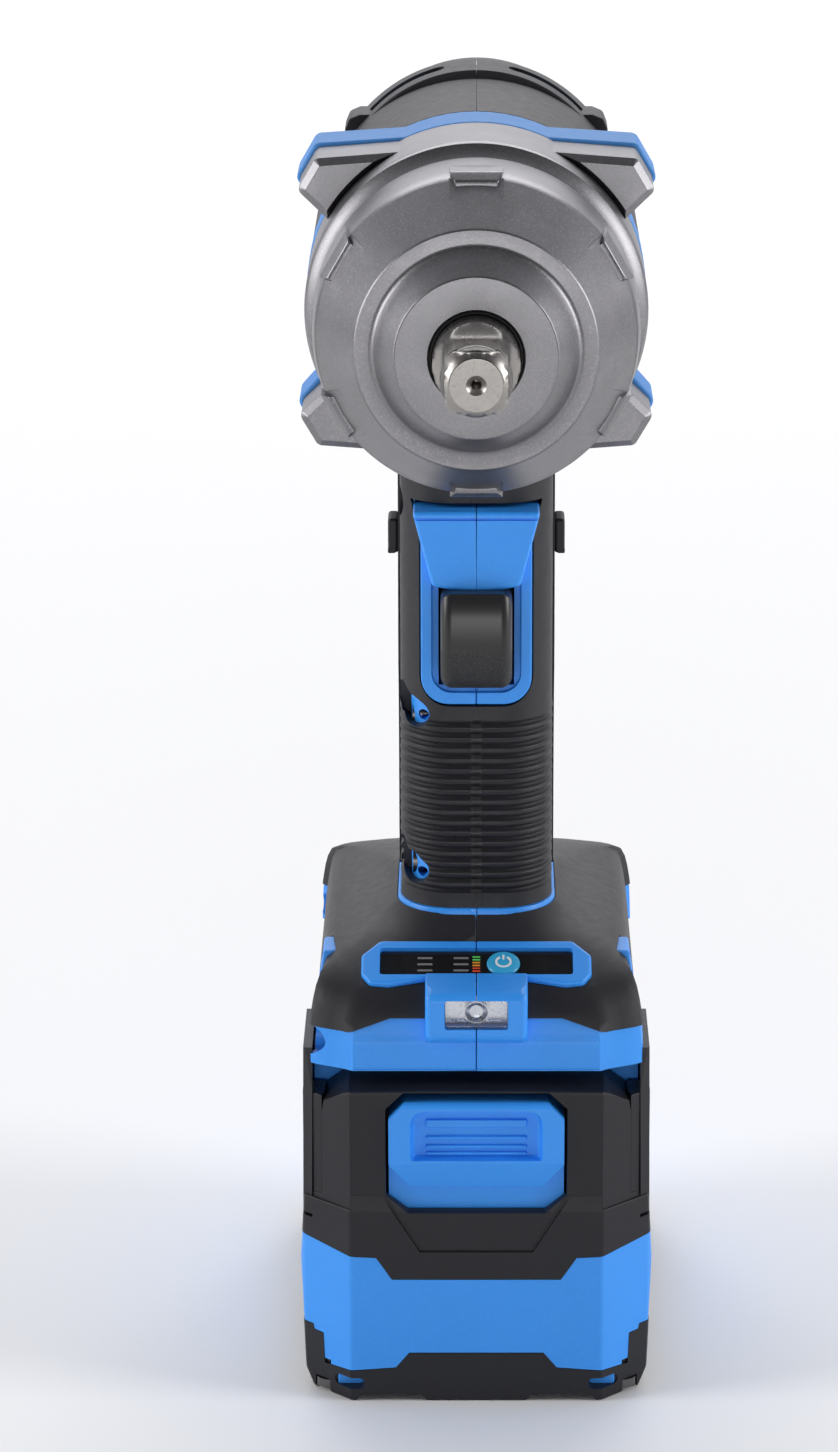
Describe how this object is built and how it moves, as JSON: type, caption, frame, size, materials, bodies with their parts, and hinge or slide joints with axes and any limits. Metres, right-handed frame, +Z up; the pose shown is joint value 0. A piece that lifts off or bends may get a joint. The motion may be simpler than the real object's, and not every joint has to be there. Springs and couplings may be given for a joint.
{
  "type": "impact wrench",
  "caption": "Cordless pistol-grip impact wrench with a square drive, cast nose case, clamshell motor housing, trigger grip, display foot and slide-off battery.",
  "frame": {"origin": "under the middle of the whole tool, on the surface that the battery stands on", "axes": "+Z up; the square drive points along -Y; +X is the left hand of a person who holds the tool"},
  "size_m": [0.0792, 0.21, 0.283],
  "materials": {
    "cast_case": "fine-grained satin grey paint on cast aluminium",
    "blue_plastic": "fine moulded texture",
    "blue_rubber": "matt rubber",
    "black_overmold": "matt soft overmold",
    "black_plastic": "fine moulded texture",
    "steel": "ground and lightly oiled",
    "dark_steel": "blackened",
    "cast_aluminium": "machined",
    "bronze": "sintered bronze",
    "lamination": "stacked laminations",
    "copper": "enamelled winding",
    "magnet": "nickel plated",
    "board": "circuit board",
    "seal_rubber": "smooth",
    "panel_plastic": "satin panel foil",
    "button_plastic": "lit button",
    "clear_lens": "clear polycarbonate",
    "cell_sleeve": "shrink sleeve",
    "holder_plastic": "moulded",
    "contact_metal": "gold flashed",
    "lead_sleeve": "silicone sleeve"
  },
  "bodies": {
    "tool": {"hammer_case": "cast_case", "case_bumper": "blue_rubber", "nose_bushing": "bronze", "nose_seal": "seal_rubber", "thrust_washer": "steel", "ring_gear": "steel", "gearbox_plate": "cast_aluminium", "carrier_bearing": "steel", "front_bearing": "steel", "rear_bearing": "steel", "stator_core": "lamination", "stator_windings": "copper", "hall_board": "board", "housing_left": "blue_plastic", "housing_right": "blue_plastic", "overmold_left": "black_overmold", "overmold_right": "black_overmold", "case_screws": "dark_steel", "housing_screws": "dark_steel", "trigger_switch": "black_plastic", "control_board": "board", "motor_leads": "lead_sleeve", "display_panel": "panel_plastic", "led_lens": "clear_lens", "led_board": "board", "terminal_block": "black_plastic", "trigger_spring": "steel"},
    "anvil": {"anvil": "steel", "retaining_ring": "dark_steel"},
    "carrier": {"cam_carrier": "steel", "planet_pins": "steel", "cam_balls": "steel", "hammer_spring": "steel"},
    "hammer": {"hammer": "dark_steel"},
    "planet_1": {"planet_gear_1": "steel"},
    "planet_2": {"planet_gear_2": "steel"},
    "planet_3": {"planet_gear_3": "steel"},
    "rotor": {"rotor_shaft": "steel", "sun_pinion": "steel", "rotor_core": "lamination", "rotor_magnets": "magnet", "cooling_fan": "black_plastic"},
    "trigger": {"trigger": "black_plastic"},
    "direction_switch": {"direction_switch": "black_plastic"},
    "power_button": {"power_button": "button_plastic"},
    "battery": {"battery_upper_case": "black_plastic", "battery_lower_case": "blue_plastic", "battery_guard": "black_plastic", "battery_cells": "cell_sleeve", "cell_holder": "holder_plastic", "battery_board": "board", "battery_contacts": "contact_metal", "battery_screws": "dark_steel", "latch_springs": "steel"},
    "latch": {"battery_latch": "blue_plastic"}
  },
  "joints": [
    {"name": "anvil_spin", "type": "hinge", "parent": "tool", "child": "anvil", "pos_m": [0, -0.06, 0.244], "axis": [0, 1, 0], "continuous": true},
    {"name": "carrier_spin", "type": "hinge", "parent": "tool", "child": "carrier", "pos_m": [0, 0, 0.244], "axis": [0, 1, 0], "continuous": true},
    {"name": "rotor_spin", "type": "hinge", "parent": "tool", "child": "rotor", "pos_m": [0, 0.05, 0.244], "axis": [0, 1, 0], "continuous": true},
    {"name": "planet_1_spin", "type": "hinge", "parent": "carrier", "child": "planet_1", "pos_m": [0.0165, 0, 0.244], "axis": [0, 1, 0], "continuous": true},
    {"name": "planet_2_spin", "type": "hinge", "parent": "carrier", "child": "planet_2", "pos_m": [-0.00825, 0, 0.22971], "axis": [0, 1, 0], "continuous": true},
    {"name": "planet_3_spin", "type": "hinge", "parent": "carrier", "child": "planet_3", "pos_m": [-0.00825, 0, 0.25829], "axis": [0, 1, 0], "continuous": true},
    {"name": "hammer_slide", "type": "slide", "parent": "carrier", "child": "hammer", "axis": [0, 1, 0], "range_m": [0, 0.009], "stiffness_N_per_m": 8000, "deforming": ["hammer_spring"]},
    {"name": "trigger_pull", "type": "slide", "parent": "tool", "child": "trigger", "axis": [0, 1, 0], "range_m": [0, 0.0065], "stiffness_N_per_m": 1200, "deforming": ["trigger_spring"]},
    {"name": "direction_slide", "type": "slide", "parent": "tool", "child": "direction_switch", "axis": [1, 0, 0], "range_m": [-0.0035, 0.0035]},
    {"name": "power_button_press", "type": "slide", "parent": "tool", "child": "power_button", "axis": [0, 0.3971, -0.9178], "range_m": [0, 0.0006], "stiffness_N_per_m": 1500},
    {"name": "battery_slide", "type": "slide", "parent": "tool", "child": "battery", "axis": [0, -1, 0], "range_m": [0, 0.1]},
    {"name": "latch_press", "type": "slide", "parent": "battery", "child": "latch", "axis": [0, 0, -1], "range_m": [0, 0.0042], "stiffness_N_per_m": 1500, "deforming": ["latch_springs"]}
  ],
  "couplings": [
    {"joint": "carrier_spin", "follows": "anvil_spin", "ratio": 1},
    {"joint": "rotor_spin", "follows": "anvil_spin", "ratio": 5.5},
    {"joint": "planet_1_spin", "follows": "anvil_spin", "ratio": -2.5714},
    {"joint": "planet_2_spin", "follows": "anvil_spin", "ratio": -2.5714},
    {"joint": "planet_3_spin", "follows": "anvil_spin", "ratio": -2.5714}
  ]
}
